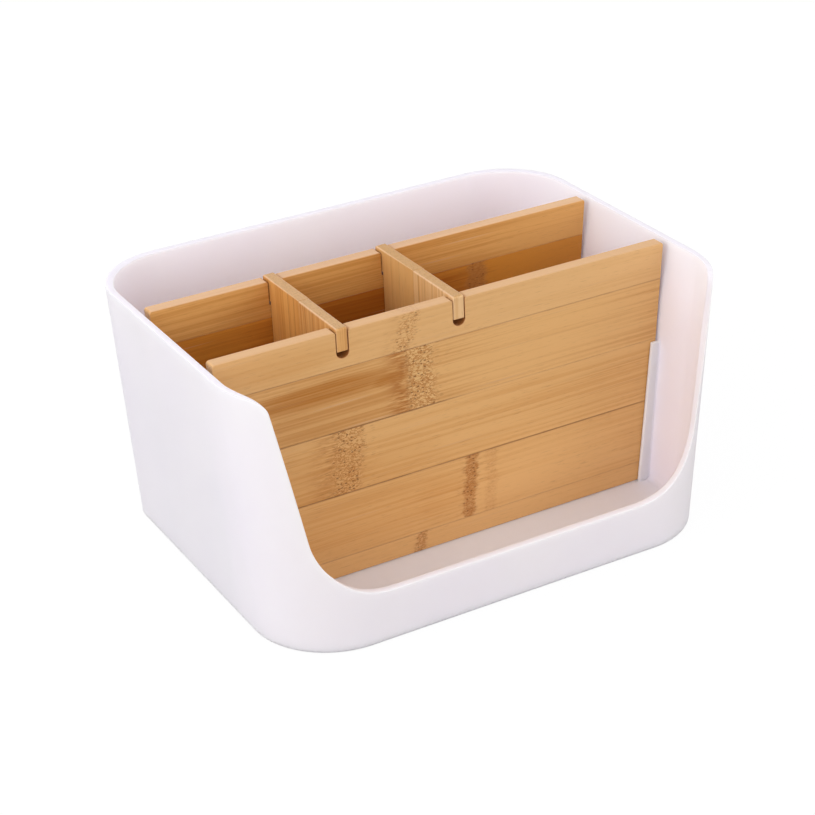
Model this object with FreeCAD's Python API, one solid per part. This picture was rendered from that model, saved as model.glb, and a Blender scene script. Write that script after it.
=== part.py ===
"""Desk organiser: an open tapered tub with lift-out bamboo boards that make its compartments.

The frame's origin is on the table, under the centre of the rim. X runs along the front, Y goes
to the back and Z goes up. All lengths are in millimetres.
"""
import FreeCAD, Part
import math
import os

# Tub outside
rim_width = 250.0
rim_depth = 197.0
tub_height = 128.0
side_lean = 9.6
front_lean = 8.5
back_lean = 8.0
rim_front_radius = 49.0
rim_back_radius = 37.0
base_front_radius = 39.5
base_back_radius = 16.5
base_edge_radius = 2.0

# Tub walls
side_wall = 5.6
front_wall = 4.1
back_wall = 4.0
floor_thickness = 3.0
inner_front_radius = 40.0
inner_back_radius = 33.0
inner_base_front_radius = 31.0
inner_base_back_radius = 13.5
lip_thickness = 3.4
lip_depth = 1.2
lip_bevel_height = 10.0
inner_floor_radius = 2.5

# Front cut-out
cutout_rim_half_width = 114.6
cutout_sill_half_width = 96.2
sill_height = 27.0
cutout_sill_radius = 38.0
cutout_rim_radius = 6.5
cutout_reach = 52.0

# Guide ribs for the long boards
rib_top_drop = 50.5
rib_thickness = 2.2
rib_cover = 3.6
rib_face_gap = 0.3

# Long boards
front_board_face = -34.9
rear_board_face = 32.2
board_thickness = 6.5
board_end_gap = 0.9
board_corner_radius = 1.6
board_edge_radius = 0.9
board_foot_radius = inner_floor_radius + board_end_gap
strip_height_shares = [0.1472, 0.248, 0.26, 0.264]

# Cross dividers
divider_thickness = 5.6
divider_centres = {"left": -55.1, "right": 5.0}
divider_proud = 1.2
divider_edge_radius = 0.9
divider_board_gap = 0.3
lug_height = 11.6
slot_side_gap = 0.55
slot_depth = 13.6
slot_mouth_radius = 1.6

# Allowances
overrun = 5.0
wall_bite_share = 0.5

rim_half_width = rim_width / 2
rim_half_depth = rim_depth / 2
side_slope = side_lean / tub_height
rib_top = tub_height - rib_top_drop
board_top = tub_height
board_rear_back = rear_board_face + board_thickness
front_board_back = front_board_face + board_thickness
divider_top = board_top + divider_proud
slot_width = divider_thickness + 2 * slot_side_gap
up = FreeCAD.Vector(0, 0, 1)


def point(x, y, z):
    """A point in the organiser's frame."""
    return FreeCAD.Vector(x, y, z)


def box_between(low, high):
    """An upright box from its low corner to its high corner, each given as (x, y, z)."""
    size = [b - a for a, b in zip(low, high)]
    return Part.makeBox(size[0], size[1], size[2], point(*low))


def outline_face(points):
    """A flat face inside a closed outline of straight sides."""
    return Part.Face(Part.makePolygon(points + points[:1]))


def corner_arc(centre_x, centre_y, radius, start_angle, z):
    """A quarter circle about a vertical axis, from start_angle on, anticlockwise from above."""
    circle = Part.Circle(point(centre_x, centre_y, z), up, radius)
    return Part.Arc(circle, start_angle, start_angle + math.pi / 2).toShape()


def plan_outline(half_width, front, back, front_radius, back_radius, z):
    """The tub's plan at one height: a rectangle with two front and two back corner radii."""
    corners = [
        (half_width - back_radius, back - back_radius, back_radius, 0),
        (back_radius - half_width, back - back_radius, back_radius, math.pi / 2),
        (front_radius - half_width, front + front_radius, front_radius, math.pi),
        (half_width - front_radius, front + front_radius, front_radius, 3 * math.pi / 2),
    ]
    arcs = [corner_arc(x, y, radius, start, z) for x, y, radius, start in corners]
    edges = []
    for arc, following in zip(arcs, arcs[1:] + arcs[:1]):
        edges.append(arc)
        edges.append(Part.makeLine(arc.lastVertex(True).Point, following.firstVertex(True).Point))
    return Part.Wire(edges)


def blend(base, rim, z):
    """A size that goes evenly from its base value to its rim value, read at height z."""
    return base + (rim - base) * z / tub_height


def inner_half_width(z):
    """Half the distance between the side walls' inner faces at height z."""
    return rim_half_width - side_lean + side_slope * z - side_wall


def cavity_outline(z, side_thickness):
    """The plan of the tub's inside at height z, for one thickness of the side walls.

    Where the walls thin, the corners widen with them, so that the plan grows on every side.
    """
    widening = side_wall - side_thickness
    half_width = inner_half_width(z) + widening
    front = blend(front_lean, 0, z) - rim_half_depth + front_wall
    back = rim_half_depth - blend(back_lean, 0, z) - back_wall
    front_radius = blend(inner_base_front_radius, inner_front_radius, z) + widening
    back_radius = blend(inner_base_back_radius, inner_back_radius, z) + widening
    return plan_outline(half_width, front, back, front_radius, back_radius, z)


def tub_outside():
    """The tapered outside of the tub as a solid block with a rounded foot edge."""
    base = plan_outline(rim_half_width - side_lean, front_lean - rim_half_depth,
                        rim_half_depth - back_lean, base_front_radius, base_back_radius, 0)
    rim = plan_outline(rim_half_width, -rim_half_depth, rim_half_depth,
                       rim_front_radius, rim_back_radius, tub_height)
    block = Part.makeLoft([base, rim], True, True)
    foot_edges = [edge for edge in block.Edges if edge.BoundBox.ZMax < base_edge_radius]
    return block.makeFillet(base_edge_radius, foot_edges)


def tub_cavity():
    """The space inside the walls, wider at the rim where the side walls thin to a lip."""
    top = tub_height + overrun
    lip_low = tub_height - lip_depth
    main = Part.makeLoft([cavity_outline(floor_thickness, side_wall),
                          cavity_outline(top, side_wall)], True, True)
    floor_edges = [edge for edge in main.Edges if edge.BoundBox.ZMax < 2 * floor_thickness]
    main = main.makeFillet(inner_floor_radius, floor_edges)
    bevel = Part.makeLoft([cavity_outline(lip_low - lip_bevel_height, side_wall),
                           cavity_outline(lip_low, lip_thickness)], True, True)
    lip = Part.makeLoft([cavity_outline(lip_low, lip_thickness),
                         cavity_outline(top, lip_thickness)], True, True)
    return main.fuse(bevel).fuse(lip)


def rounded_path(corners, y):
    """A closed outline in a plane of constant y, from (x, z, radius) corners."""
    places = [point(x, y, z) for x, z, radius in corners]
    ends = []
    for index, here in enumerate(places):
        radius = corners[index][2]
        before = (places[index - 1] - here).normalize()
        after = (places[(index + 1) % len(places)] - here).normalize()
        half_angle = before.getAngle(after) / 2
        setback = radius / math.tan(half_angle)
        middle = here + (before + after).normalize() * (radius / math.sin(half_angle) - radius)
        ends.append((here + before * setback, middle, here + after * setback, radius))
    edges = []
    for index, (start, middle, finish, radius) in enumerate(ends):
        if radius > 0:
            edges.append(Part.Arc(start, middle, finish).toShape())
        edges.append(Part.makeLine(finish, ends[(index + 1) % len(ends)][0]))
    return Part.Wire(edges)


def front_cutout():
    """The block taken out of the front wall: leaning sides, rounded corners and a level sill."""
    front = -rim_half_depth - overrun
    far = rim_half_width + overrun
    top = tub_height + overrun
    left = [(-far, tub_height, 0), (-cutout_rim_half_width, tub_height, cutout_rim_radius),
            (-cutout_sill_half_width, sill_height, cutout_sill_radius)]
    right = [(-x, z, radius) for x, z, radius in reversed(left)]
    outline = rounded_path(left + right + [(far, top, 0), (-far, top, 0)], front)
    return Part.Face(outline).extrude(point(0, -cutout_reach - front, 0))


def guide_rib(side, face, outward):
    """One upright rib on a side wall, standing just off a board's face at y = face.

    side is -1 for the left wall and 1 for the right, and outward is the way in Y that the
    rib lies from the board's face.
    """
    near = face + outward * rib_face_gap
    far = near + outward * rib_thickness
    sections = []
    for z in (floor_thickness * wall_bite_share, rib_top):
        wall_x = inner_half_width(z)
        edge_x = wall_x - board_end_gap - rib_cover
        root_x = wall_x + side_wall * wall_bite_share
        corners = [point(side * edge_x, near, z), point(side * root_x, near, z),
                   point(side * root_x, far, z), point(side * edge_x, far, z)]
        sections.append(Part.makePolygon(corners + corners[:1]))
    return Part.makeLoft(sections, True, True)


def tub():
    """The moulded tub with its front cut-out and its pairs of guide ribs."""
    body = tub_outside().cut(tub_cavity()).cut(front_cutout())
    for side in (-1, 1):
        for front_face in (front_board_face, rear_board_face):
            body = body.fuse(guide_rib(side, front_face, -1))
            body = body.fuse(guide_rib(side, front_face + board_thickness, 1))
    return body.removeSplitter()


def divider_slot(centre_x, face):
    """The open-topped slot with a half-round bottom that a board has for one divider's lug."""
    half = slot_width / 2
    top = board_top + overrun
    flare = half + slot_mouth_radius
    low_y = face - overrun
    length = board_thickness + 2 * overrun
    mouth_z = board_top - slot_mouth_radius
    centre_z = board_top - slot_depth + half
    channel = box_between((centre_x - half, low_y, centre_z),
                          (centre_x + half, low_y + length, top))
    bottom = Part.makeCylinder(half, length, point(centre_x, low_y, centre_z), point(0, 1, 0))
    mouth = box_between((centre_x - flare, low_y, mouth_z),
                        (centre_x + flare, low_y + length, top))
    for side in (-1, 1):
        lip_centre = point(centre_x + side * flare, low_y, mouth_z)
        mouth = mouth.cut(Part.makeCylinder(slot_mouth_radius, length, lip_centre, point(0, 1, 0)))
    return channel.fuse(bottom).fuse(mouth)


def long_board(face):
    """One long board, its ends parallel to the leaning walls, with a slot for each divider."""
    top_half = inner_half_width(board_top) - board_end_gap
    low_half = inner_half_width(floor_thickness) - board_end_gap
    outline = rounded_path([(-low_half, floor_thickness, board_foot_radius),
                            (low_half, floor_thickness, board_foot_radius),
                            (top_half, board_top, board_corner_radius),
                            (-top_half, board_top, board_corner_radius)], face)
    board = Part.Face(outline).extrude(point(0, board_thickness, 0))
    rounded = [edge for edge in board.Edges
               if edge.BoundBox.ZMin > board_top - board_edge_radius
               and edge.BoundBox.XLength > board_thickness]
    board = board.makeFillet(board_edge_radius, rounded)
    for centre_x in divider_centres.values():
        board = board.cut(divider_slot(centre_x, face))
    return board


def board_strips(board):
    """A board's edge-glued strips, from the top one down, the lowest taking what is left."""
    board_height = board_top - floor_thickness
    seams = [board_top - board_height * sum(strip_height_shares[:count])
             for count in range(1, len(strip_height_shares) + 1)]
    levels = [board_top + overrun] + seams + [floor_thickness - overrun]
    strips = []
    for high, low in zip(levels, levels[1:]):
        slab = box_between((-rim_width, -rim_depth, low), (rim_width, rim_depth, high))
        strips.append(board.common(slab))
    return strips


def divider(centre_x):
    """One cross divider: a panel between the long boards with a lug at each top end."""
    panel_front = front_board_back + divider_board_gap
    panel_back = rear_board_face - divider_board_gap
    lug_low = divider_top - lug_height
    profile = [(panel_front, floor_thickness), (panel_back, floor_thickness),
               (panel_back, lug_low), (board_rear_back, lug_low), (board_rear_back, divider_top),
               (front_board_face, divider_top), (front_board_face, lug_low),
               (panel_front, lug_low)]
    low_x = centre_x - divider_thickness / 2
    panel = outline_face([point(low_x, y, z) for y, z in profile])
    panel = panel.extrude(point(divider_thickness, 0, 0))
    top_edges = [edge for edge in panel.Edges
                 if edge.BoundBox.ZMin > divider_top - divider_edge_radius]
    return panel.makeFillet(divider_edge_radius, top_edges)


def divider_strips(panel):
    """A divider's two upright glued strips, the front one first."""
    middle = (front_board_face + board_rear_back) / 2
    spans = [(-rim_depth, middle), (middle, rim_depth)]
    return [panel.common(box_between((-rim_width, low, -overrun),
                                     (rim_width, high, divider_top + overrun)))
            for low, high in spans]


def pieces():
    """Every piece by name."""
    named = {"tub": tub()}
    for name, face in (("front_board", front_board_face), ("rear_board", rear_board_face)):
        for number, strip in enumerate(board_strips(long_board(face)), start=1):
            named[f"{name}_strip_{number}"] = strip
    for name, centre_x in divider_centres.items():
        strips = divider_strips(divider(centre_x))
        for place, strip in zip(("front", "rear"), strips):
            named[f"{name}_divider_{place}_strip"] = strip
    return named


os.makedirs("parts", exist_ok=True)
for name, shape in pieces().items():
    shape.exportStep(f"parts/{name}.step")
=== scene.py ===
"""Looks of the desk organiser: a moulded tub with lift-out bamboo boards.

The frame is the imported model's: the origin on the table under the centre of the rim, X right
along the front, Y to the back and Z up. Sizes are written in millimetres and become metres
when a mesh is made.
"""

import logging
import math
from dataclasses import dataclass, replace
from enum import Enum
from functools import cache
from typing import Callable, Sequence

import bpy
import numpy as np
from mathutils import Matrix, Vector

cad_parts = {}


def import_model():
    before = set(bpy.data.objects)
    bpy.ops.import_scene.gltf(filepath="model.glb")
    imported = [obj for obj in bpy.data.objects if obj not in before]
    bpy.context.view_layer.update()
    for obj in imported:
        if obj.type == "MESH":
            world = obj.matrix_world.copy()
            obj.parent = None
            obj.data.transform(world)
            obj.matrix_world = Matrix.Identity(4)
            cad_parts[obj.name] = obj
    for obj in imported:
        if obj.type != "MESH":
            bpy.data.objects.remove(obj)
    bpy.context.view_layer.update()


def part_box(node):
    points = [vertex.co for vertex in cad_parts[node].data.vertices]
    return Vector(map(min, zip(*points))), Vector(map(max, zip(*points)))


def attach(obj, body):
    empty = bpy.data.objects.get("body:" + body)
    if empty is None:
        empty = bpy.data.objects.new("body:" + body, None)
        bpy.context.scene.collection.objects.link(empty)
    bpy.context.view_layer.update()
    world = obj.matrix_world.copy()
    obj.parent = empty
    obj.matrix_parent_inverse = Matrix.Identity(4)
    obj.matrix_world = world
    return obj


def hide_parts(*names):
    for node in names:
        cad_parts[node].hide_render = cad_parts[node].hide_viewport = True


log = logging.getLogger("desk_organiser")

Colour = tuple[float, float, float]
Socket = bpy.types.NodeSocket

MM = 0.001


class Grain(Enum):
    """The way the bamboo fibres run, as the axes along, across and through the strip."""

    ALONG_BOARD = ("X", "Z", "Y")
    UPRIGHT = ("Z", "Y", "X")


# Flat outlines

ARC_TURN = math.radians(10.0)
ARC_STEP = 1.2


@dataclass(frozen=True)
class Corner:
    """One corner of a flat outline.

    edge is the rounding of the edge that runs from this corner to the next one, and shade says
    how strongly that side is darkened with painted shade, from 0 to 1.
    """

    across: float
    height: float
    radius: float
    edge: float = 0.0
    shade: float = 0.0


@dataclass(frozen=True)
class Outline:
    """Sampled points of an outline, the way each faces, its edge rounding and its shade."""

    points: np.ndarray
    facing: np.ndarray
    edge: np.ndarray
    shade: np.ndarray


def rounded_outline(corners: Sequence[Corner], closed: bool = True,
                    spacing: float = math.inf) -> Outline:
    """Samples an outline whose corners are rounded to circles.

    The circle at a corner starts radius times tan(turn / 2) before it. Its centre is one radius
    inside that start, and its points are the centre plus the radius times a facing that turns
    evenly from the facing of the side before to that of the side after. A corner that doesn't
    turn gives one point, where the next edge's rounding is reached.

    Args:
        corners: the corners in order, with the material on the left of the way round.
        closed: whether the last corner joins the first.
        spacing: the longest step along a straight side.

    Returns:
        The sampled outline. Facings point away from the material.
    """
    spots = np.array([(corner.across, corner.height) for corner in corners])
    count = len(corners)
    pieces = []
    for index, corner in enumerate(corners):
        before = spots[index] - spots[index - 1]
        after = spots[(index + 1) % count] - spots[index]
        last = corners[index - 1]
        if not closed and index == 0:
            before, last = after, corner
        if not closed and index == count - 1:
            after, corner = before, last
        before, after = before / np.linalg.norm(before), after / np.linalg.norm(after)
        turn = math.atan2(before[0] * after[1] - before[1] * after[0], before @ after)
        steps = max(math.ceil(abs(turn) / ARC_TURN - 0.001),
                    math.ceil(abs(turn) * corner.radius / ARC_STEP - 0.001))
        angle = np.linspace(0.0, turn, steps + 1)[:, None]
        face = np.cos(angle) * np.array([before[1], -before[0]]) + np.sin(angle) * before
        bend = math.copysign(corner.radius, turn)
        centre = spots[index] - before * corner.radius * math.tan(abs(turn) / 2) - bend * face[0]
        arc = centre + bend * face
        share = np.linspace(0.0, 1.0, steps + 1) if steps else np.ones(1)
        if pieces and math.isfinite(spacing):
            start = pieces[-1][0][-1]
            gap = np.linalg.norm(arc[0] - start)
            inner = np.linspace(0.0, 1.0, max(2, math.ceil(gap / spacing) + 1))[1:-1]
            pieces.append((start + inner[:, None] * (arc[0] - start),
                           np.repeat(face[:1], len(inner), axis=0),
                           np.full(len(inner), last.edge), np.full(len(inner), last.shade)))
        pieces.append((arc, face, last.edge + (corner.edge - last.edge) * share,
                       last.shade + (corner.shade - last.shade) * share))
    return Outline(*(np.concatenate(rows) for rows in zip(*pieces)))


# Surfaces


def linked(name: str, data: bpy.types.ID) -> bpy.types.Object:
    """Makes an object and puts it in the scene.

    Args:
        name: the object's name.
        data: its mesh, lamp or camera.

    Returns:
        The object, at the origin.
    """
    thing = bpy.data.objects.new(name, data)
    bpy.context.scene.collection.objects.link(thing)
    return thing


@dataclass
class Surface:
    """A closed surface in millimetres, with the way its points face and marks for its finish."""

    points: np.ndarray
    faces: list[list[int]]
    facing: np.ndarray | None = None
    marks: dict[str, np.ndarray] | None = None

    def piece(self, name: str) -> bpy.types.Object:
        """Makes a smooth-shaded Blender object of this surface.

        Args:
            name: the name of the object and its mesh.

        Returns:
            The object at the origin, its mesh in metres and with the surface's marks.
        """
        mesh = bpy.data.meshes.new(name)
        mesh.from_pydata((self.points * MM).tolist(), [], self.faces)
        mesh.update()
        mesh.shade_smooth()
        for mark, values in (self.marks or {}).items():
            layer = mesh.attributes.new(mark, "FLOAT", "POINT")
            layer.data.foreach_set("value", np.ascontiguousarray(values, dtype=np.float32))
        if self.facing is not None:
            mesh.normals_split_custom_set_from_vertices(self.facing.tolist())
        return linked(name, mesh)


def ring_faces(rows: int, columns: int) -> list[list[int]]:
    """Four-sided faces between neighbouring closed rings of points.

    Args:
        rows: how many rings there are.
        columns: how many points each ring has.

    Returns:
        Faces that look out when the rings climb and their points run anticlockwise from above.
    """
    here = np.arange(rows - 1)[:, None] * columns + np.arange(columns)
    beside = np.arange(rows - 1)[:, None] * columns + (np.arange(columns) + 1) % columns
    return np.stack([here, beside, beside + columns, here + columns], -1).reshape(-1, 4).tolist()


def joined(surfaces: Sequence[Surface]) -> Surface:
    """Puts several closed surfaces together, their faces counted on from one to the next.

    Args:
        surfaces: the surfaces, which have the same marks.

    Returns:
        One surface with all their points, faces and marks.
    """
    starts = np.cumsum([0] + [len(surface.points) for surface in surfaces])
    faces = [[corner + int(start) for corner in face]
             for start, surface in zip(starts, surfaces) for face in surface.faces]
    marks = {mark: np.concatenate([surface.marks[mark] for surface in surfaces])
             for mark in surfaces[0].marks}
    return Surface(np.concatenate([surface.points for surface in surfaces]), faces, None, marks)


@dataclass(frozen=True)
class Slab:
    """An outline carried straight through a thickness, with all its edges rounded."""

    outline: Outline
    near: float
    far: float
    grain: Grain
    rounding_steps: int = 4
    # edge rounding at which the painted highlight on a rounded edge is full
    full_sheen_rounding: float = 0.9

    def surface(self) -> Surface:
        """Works out the slab's surface.

        At an angle a of the rounding, a point is its outline point less edge times (1 - sin a)
        along its facing, and it lies edge times (1 - cos a) inside the near or the far face.

        Returns:
            The surface, with marks for its end grain, for the painted highlight on its rounded
            edges and for the painted shade on its slots' walls.
        """
        angle = np.linspace(0.0, math.pi / 2, self.rounding_steps + 1)
        angle = np.concatenate([angle, angle[::-1]])[:, None]
        side = np.repeat([-1.0, 1.0], self.rounding_steps + 1)[:, None]
        edge = self.outline.edge[None, :]
        flat = (self.outline.points[None] - (edge * (1 - np.sin(angle)))[..., None]
                * self.outline.facing[None])
        deep = np.where(side < 0, self.near, self.far) - side * edge * (1 - np.cos(angle))
        level = np.sin(angle)[..., None] * self.outline.facing[None]
        points = np.stack([deep, flat[..., 0], flat[..., 1]], -1)
        facing = np.stack([side * np.cos(angle) * np.ones_like(edge),
                           level[..., 0], level[..., 1]], -1)
        rows, columns = deep.shape
        faces = ring_faces(rows, columns)
        caps = [list(range(columns))[::-1], list(range((rows - 1) * columns, rows * columns))]
        along = 2
        if self.grain is Grain.ALONG_BOARD:
            points, facing = points[..., [1, 0, 2]], facing[..., [1, 0, 2]]
            faces = [face[:1] + face[:0:-1] for face in faces]
            caps = [cap[::-1] for cap in caps]
            along = 0
        marks = {
            "end_grain": np.abs(facing[..., along]).ravel(),
            # painted highlight on the rounded edges, strongest half-way round each rounding
            "edge_sheen_and_shade": (np.sin(2 * angle) * np.minimum(edge / self.full_sheen_rounding, 1.0)).ravel(),
            # painted shade on the slots' walls
            "slot_painted_shade": (np.sin(angle) * self.outline.shade[None]).ravel(),
        }
        return Surface(points.reshape(-1, 3), faces + caps, facing.reshape(-1, 3), marks)


# The tub

NEAR_TOP = (0.2, 0.45, 0.7, 1.0, 2.0, 4.0, 7.0, 10.0, 13.0)
BOTTOM_RINGS = (0.12, 0.3, 0.5, 0.7, 0.85, 0.95, 0.99)
OUTER_ROWS = (0.004, *np.linspace(0.03, 0.97, 14), 0.993)
INNER_ROWS = (*np.linspace(0.03, 0.95, 28), 0.99)
RIM_STEPS = (12, 44, 30, 60, 30, 44, 12)
EDGE_STEPS = 6
FOOT_STEPS = 7


@dataclass(frozen=True)
class Span:
    """A size that goes evenly from its value at the base to its value at the rim."""

    base: float
    rim: float

    def at(self, share: np.ndarray) -> np.ndarray:
        """The size at a share of the height, from 0 at the base to 1 at the rim."""
        return self.base + (self.rim - self.base) * share


@dataclass(frozen=True)
class WallPlan:
    """One face of the tub's wall: at every height a rectangle with rounded corners.

    A place on it is a number that counts the eight legs of the plan anticlockwise from above:
    0 to 1 is the straight front, 1 to 2 the front right corner, 2 to 3 the right side and so on.
    Between lip_low and lip_high the sides and corners widen smoothly by lip_widening.
    """

    height: float
    half_width: Span
    front: Span
    back: Span
    front_radius: Span
    back_radius: Span
    lip_low: float = 0.0
    lip_high: float = 1.0
    lip_widening: float = 0.0

    def sizes(self, z: np.ndarray, inset: np.ndarray) -> tuple[np.ndarray, ...]:
        """The plan's sizes at some heights.

        Each size goes evenly from base to rim. The lip adds its widening times 3 c squared less
        2 c cubed, where c is the share of the way from lip_low to lip_high.

        Args:
            z: the heights.
            inset: how far the whole plan is drawn in there.

        Returns:
            Half the width, the y of the front and of the back, and the front and back radii.
        """
        share = z / self.height
        climb = np.clip((z - self.lip_low) / (self.lip_high - self.lip_low), 0.0, 1.0)
        lip = self.lip_widening * climb ** 2 * (3.0 - 2.0 * climb)
        return (self.half_width.at(share) + lip - inset, self.front.at(share) + inset,
                self.back.at(share) - inset, self.front_radius.at(share) + lip - inset,
                self.back_radius.at(share) + lip - inset)

    def points(self, place: np.ndarray, z: np.ndarray, inset: np.ndarray = 0.0) -> np.ndarray:
        """The points at some places and heights.

        On a straight leg a point moves evenly from one corner's end to the next one's start, and
        on a corner it is the corner's centre plus the radius along an evenly turning angle.

        Args:
            place: where on the plan, as the class says.
            z: the height of each point.
            inset: how far the whole plan is drawn in there.

        Returns:
            The points, with x, y and z in the last place.
        """
        place, z, inset = np.broadcast_arrays(np.mod(place, 8.0), z, inset)
        half, front, back, front_radius, back_radius = self.sizes(z, inset)
        leg = np.floor(place)
        number, on_corner = leg // 2, leg % 2 == 1

        def corner(which: np.ndarray) -> np.ndarray:
            """Finds some of the plan's four corners.

            Args:
                which: their numbers, anticlockwise from the front right.

            Returns:
                The x and y of each corner's centre, and its radius.
            """
            right, rear = np.isin(which % 4, (0, 1)), np.isin(which % 4, (1, 2))
            radius = np.where(rear, back_radius, front_radius)
            return np.stack([np.where(right, half - radius, radius - half),
                             np.where(rear, back - radius, front + radius), radius])

        before, after = corner(number - 1), corner(number)
        x, y, radius = before + (after - before) * np.where(on_corner, 1.0, place - leg)
        angle = (number - 1 + np.where(on_corner, place - leg, 0.0)) * math.pi / 2
        return np.stack([x + radius * np.cos(angle), y + radius * np.sin(angle), z], axis=-1)

    def place_at(self, x: np.ndarray, z: np.ndarray) -> np.ndarray:
        """The place on the front half of the plan where the wall crosses a given x.

        On the straight front it is the share of the run that x has covered, and on a corner the
        arcsine of how far x is past that run, over the radius, as a share of a quarter turn.

        Args:
            x: where the wall is crossed.
            z: the height of the crossing.

        Returns:
            The places, below 0 on the front left corner.
        """
        half, _, _, radius, _ = self.sizes(z, 0.0)
        run = half - radius
        over = np.arcsin(np.clip((np.abs(x) - run) / radius, 0.0, 1.0)) / (math.pi / 2)
        on_front = (x / run + 1) / 2
        return np.where(np.abs(x) <= run, on_front, np.where(x > 0, 1 + over, -over))


@dataclass(frozen=True)
class Tub:
    """The moulded tub with its cut-out front and its guide ribs.

    The rounded edge is darkened with painted shade, fully round the rim and only partly along the
    cut-out low down, growing to full towards the top.
    """

    rim_width: float = 250.0
    rim_depth: float = 197.0
    height: float = 128.0
    side_lean: float = 9.6
    front_lean: float = 8.5
    back_lean: float = 8.0
    side_wall: float = 5.6
    front_wall: float = 4.1
    back_wall: float = 4.0
    outer_radii: tuple[Span, Span] = (Span(39.5, 49.0), Span(16.5, 37.0))
    inner_radii: tuple[Span, Span] = (Span(31.0, 40.0), Span(13.5, 33.0))
    floor: float = 3.0
    foot_radius: float = 1.3
    floor_radius: float = 2.5
    lip: float = 3.4
    lip_depth: float = 1.2
    lip_bevel: float = 32.0
    cut_start: float = 121.0
    cut_rim_half: float = 114.6
    cut_rim_radius: float = 6.5
    cut_sill_half: float = 96.2
    cut_sill_radius: float = 38.0
    sill: float = 27.0
    column_step: float = 1.5
    edge_rounding: float = 0.5
    cut_edge_shade: float = 0.35
    edge_shade_low: float = 100.0
    edge_shade_high: float = 127.0
    rib_drop: float = 50.5
    rib_thickness: float = 1.7
    rib_reach: float = 4.5
    rib_spread: Span = Span(1.32, 1.0)
    rib_gap: float = 0.3
    rib_root: float = 0.9
    rib_nose: float = 0.6
    rib_edge: float = 0.4
    rib_behind: float = 1.2
    rib_hidden: float = 0.05

    def plan(self, side: float, front: float, back: float, radii: tuple[Span, Span],
             **lip: float) -> WallPlan:
        """One face of the wall, drawn in from the outer face.

        Args:
            side: how far inside the outer face it is at the sides.
            front: how far inside at the front.
            back: how far inside at the back.
            radii: the front and the back corner radius.
            lip: where the face leans out to the lip, and how far.

        Returns:
            The face's plan.
        """
        half, deep = self.rim_width / 2, self.rim_depth / 2
        return WallPlan(self.height, Span(half - self.side_lean - side, half - side),
                        Span(self.front_lean - deep + front, front - deep),
                        Span(deep - self.back_lean - back, deep - back), *radii, **lip)

    def outer_plan(self) -> WallPlan:
        """The outer face of the wall."""
        return self.plan(0.0, 0.0, 0.0, self.outer_radii)

    def inner_plan(self) -> WallPlan:
        """The inner face of the wall, which leans out to a thinner lip near the rim."""
        lip_high = self.height - self.lip_depth
        return self.plan(self.side_wall, self.front_wall, self.back_wall, self.inner_radii,
                         lip_low=lip_high - self.lip_bevel, lip_high=lip_high,
                         lip_widening=self.side_wall - self.lip)

    def cut_path(self) -> Outline:
        """The edge of the cut-out, a straight run with a round at each of its corners.

        Returns:
            The path from left to right, facing into the opening.
        """
        right = [(self.cut_start, self.height, 0.0),
                 (self.cut_rim_half, self.height, self.cut_rim_radius),
                 (self.cut_sill_half, self.sill, self.cut_sill_radius)]
        left = [(-across, height, radius) for across, height, radius in right[::-1]]
        path = rounded_outline([Corner(*corner) for corner in right + left], closed=False,
                               spacing=self.column_step)
        return Outline(path.points[::-1], path.facing[::-1], path.edge[::-1], path.shade[::-1])

    def rim_places(self, right: float, left: float) -> np.ndarray:
        """Places round the back of the rim, evenly spaced on each leg of the plan.

        Args:
            right: the place where the cut-out ends at the right.
            left: the place where it starts at the left.

        Returns:
            The places from just past the right shoulder to the left one.
        """
        stops = [right, 2.0, 3.0, 4.0, 5.0, 6.0, 7.0, left + 8.0]
        runs = [np.linspace(low, high, count, endpoint=False)
                for low, high, count in zip(stops, stops[1:], RIM_STEPS)]
        return np.concatenate(runs)[1:]

    def shell(self) -> Surface:
        """The tub's skin as one grid of points.

        Its columns follow the plan, along the edge of the cut-out at the front and round the rim
        elsewhere. Its rows run from the middle of the base out and up the outer face, over the
        edge, down the inner face and in to the middle of the floor. A column's points share one
        place on the outer plan and one on the inner plan. Over the edge each side is a curve of
        three control points: one rounding below the edge, the sharp edge, and one rounding in.

        Returns:
            The closed surface, with the mark of the painted shade on its rounded edge.
        """
        outer, inner = self.outer_plan(), self.inner_plan()
        path = self.cut_path()
        path_x, path_z = path.points.T
        under_x, under_z = (path.points - self.edge_rounding * path.facing).T
        places, sharp = [], []
        for plan in (outer, inner):
            cut = plan.place_at(under_x, under_z)
            rim = self.rim_places(cut[-1], cut[0])
            places.append(np.concatenate([cut, rim]))
            sharp.append(np.concatenate([plan.points(plan.place_at(path_x, path_z), path_z),
                                         plan.points(rim, self.height)]))
        out_place, in_place = places
        top = np.concatenate([under_z, np.full(len(rim), self.height - self.edge_rounding)])
        across = sharp[1] - sharp[0]
        across = across / np.linalg.norm(across, axis=1, keepdims=True) * self.edge_rounding
        curve = np.linspace(0.0, 1.0, EDGE_STEPS)[:, None, None]

        def bend(low: np.ndarray, corner: np.ndarray, level: np.ndarray) -> np.ndarray:
            """A curve from low to level that leaves and arrives towards the corner."""
            return (1 - curve) ** 2 * low + 2 * curve * (1 - curve) * corner + curve ** 2 * level

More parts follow.
